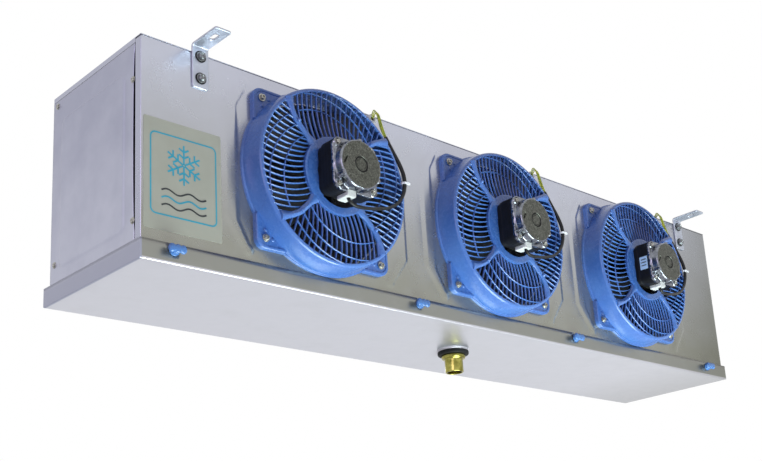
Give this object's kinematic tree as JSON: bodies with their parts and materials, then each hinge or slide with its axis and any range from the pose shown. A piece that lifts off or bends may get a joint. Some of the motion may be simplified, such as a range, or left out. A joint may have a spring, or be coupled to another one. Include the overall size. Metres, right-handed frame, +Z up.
{
  "type": "unit cooler",
  "caption": "Ceiling-hung forced-air evaporator for a walk-in cold room: a long sheet casing with guarded axial fans in front, a finned coil behind and a hinged drain pan below",
  "frame": {"origin": "in the ceiling plane that the bracket legs lie against, over the middle of the casing's length and depth", "axes": "+X along the cooler to the right as seen from the fans' side, air leaves towards -Y, +Z up"},
  "size_m": [1.4353, 0.4145, 0.387],
  "materials": {
    "sheet_metal": "semi-gloss sheet",
    "pan_sheet": "semi-gloss sheet",
    "zinc_steel": "zinc plated",
    "screw_steel": "zinc plated",
    "label": "matt film",
    "fin_aluminium": "bare",
    "copper": "bare copper",
    "black_rubber": "matt",
    "grey_plastic": "matt",
    "grommet_grey": "matt",
    "tie_white": "matt",
    "brass": "turned",
    "blue_plastic": "glossy moulding",
    "black_enamel": "satin enamel",
    "cast_alloy": "die cast",
    "shaft_steel": "ground",
    "fan_blade": "pressed sheet",
    "lead_black": "satin",
    "wire": "satin",
    "knob_blue": "glossy moulding"
  },
  "bodies": {
    "casing": {"front_panel": "sheet_metal", "top_panel": "sheet_metal", "left_end_cover": "sheet_metal", "right_end_cover": "sheet_metal", "tube_sheet_left": "sheet_metal", "tube_sheet_right": "sheet_metal", "rear_hinge_rail": "sheet_metal", "bracket_front_left": "zinc_steel", "bracket_front_right": "zinc_steel", "bracket_rear_left": "zinc_steel", "bracket_rear_right": "zinc_steel", "knob_studs": "zinc_steel", "bracket_bolts": "screw_steel", "end_cover_screws": "screw_steel", "guard_screws": "screw_steel", "motor_screws": "screw_steel", "front_label": "label", "coil_fins": "fin_aluminium", "coil_hairpins": "copper", "coil_return_bends": "copper", "suction_header": "copper", "liquid_header": "copper", "cover_grommets": "black_rubber", "terminal_box": "grey_plastic", "terminal_box_lid": "grey_plastic", "lead_grommets": "grommet_grey", "lead_ties": "tie_white", "fan_guard_1": "blue_plastic", "motor_stator_1": "black_enamel", "motor_cap_1": "cast_alloy", "motor_rear_shield_1": "cast_alloy", "motor_lead_1": "lead_black", "lead_wires_1": "wire", "fan_guard_2": "blue_plastic", "motor_stator_2": "black_enamel", "motor_cap_2": "cast_alloy", "motor_rear_shield_2": "cast_alloy", "motor_lead_2": "lead_black", "lead_wires_2": "wire", "fan_guard_3": "blue_plastic", "motor_stator_3": "black_enamel", "motor_cap_3": "cast_alloy", "motor_rear_shield_3": "cast_alloy", "motor_lead_3": "lead_black", "lead_wires_3": "wire"},
    "fan_1": {"rotor_1": "shaft_steel", "impeller_1": "fan_blade"},
    "fan_2": {"rotor_2": "shaft_steel", "impeller_2": "fan_blade"},
    "fan_3": {"rotor_3": "shaft_steel", "impeller_3": "fan_blade"},
    "pan": {"drain_pan": "pan_sheet", "drain_nipple": "brass", "drain_washer": "black_rubber", "drain_nut": "brass", "pan_hinge_leaves": "zinc_steel"},
    "knob_1": {"pan_knob_1": "knob_blue"},
    "knob_2": {"pan_knob_2": "knob_blue"},
    "knob_3": {"pan_knob_3": "knob_blue"},
    "knob_4": {"pan_knob_4": "knob_blue"}
  },
  "joints": [
    {"name": "fan_1_spin", "type": "hinge", "parent": "casing", "child": "fan_1", "pos_m": [-0.4, -0.146, -0.166], "axis": [0, 1, 0], "continuous": true},
    {"name": "fan_2_spin", "type": "hinge", "parent": "casing", "child": "fan_2", "pos_m": [0, -0.146, -0.166], "axis": [0, 1, 0], "continuous": true},
    {"name": "fan_3_spin", "type": "hinge", "parent": "casing", "child": "fan_3", "pos_m": [0.4, -0.146, -0.166], "axis": [0, 1, 0], "continuous": true},
    {"name": "pan_swing", "type": "hinge", "parent": "casing", "child": "pan", "pos_m": [0, 0.1329, -0.322], "axis": [1, 0, 0], "range_deg": [0, 60]},
    {"name": "knob_1_turn", "type": "hinge", "parent": "casing", "child": "knob_1", "pos_m": [-0.6625, -0.135, -0.3255], "axis": [0, 1, 0], "range_deg": [0, 90]},
    {"name": "knob_2_turn", "type": "hinge", "parent": "casing", "child": "knob_2", "pos_m": [-0.2015, -0.135, -0.3255], "axis": [0, 1, 0], "range_deg": [0, 90]},
    {"name": "knob_3_turn", "type": "hinge", "parent": "casing", "child": "knob_3", "pos_m": [0.2025, -0.135, -0.3255], "axis": [0, 1, 0], "range_deg": [0, 90]},
    {"name": "knob_4_turn", "type": "hinge", "parent": "casing", "child": "knob_4", "pos_m": [0.648, -0.135, -0.3255], "axis": [0, 1, 0], "range_deg": [0, 90]}
  ]
}
